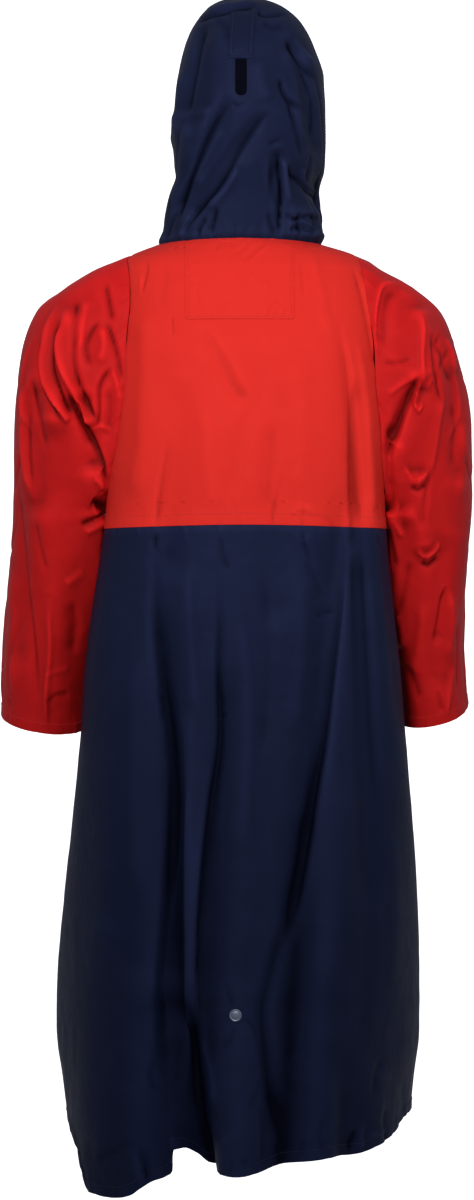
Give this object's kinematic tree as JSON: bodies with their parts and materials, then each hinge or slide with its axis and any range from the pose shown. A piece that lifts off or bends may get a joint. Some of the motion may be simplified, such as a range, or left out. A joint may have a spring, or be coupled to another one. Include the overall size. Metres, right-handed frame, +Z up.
{
  "type": "rain poncho",
  "caption": "Long hooded rain poncho with sleeves, red yoke and sleeves over a flaring dark skirt, hollow as when worn.",
  "frame": {"origin": "inside the neck between the wearer's shoulders, where the wearer's shoulders hold the garment up", "axes": "+Z up the garment from hem to hood, the front of the garment faces -Y, its left side is +X"},
  "size_m": [0.5664, 0.4976, 1.3924],
  "materials": {
    "red_cloth": "coated cloth, soft sheen",
    "sleeve_cloth": "coated cloth, soft sheen",
    "navy_cloth": "coated cloth, soft sheen",
    "black_strip": "matt pile tape",
    "steel": "dark satin"
  },
  "bodies": {
    "root": {"back_yoke": "red_cloth", "front_yoke": "red_cloth", "back_skirt": "navy_cloth", "front_skirt": "navy_cloth", "sleeve_left": "sleeve_cloth", "sleeve_right": "sleeve_cloth", "hood": "navy_cloth", "hood_brim": "navy_cloth", "hood_tab": "navy_cloth", "hood_strip": "black_strip", "neck_patch": "red_cloth", "snap_button": "steel"}
  },
  "joints": []
}
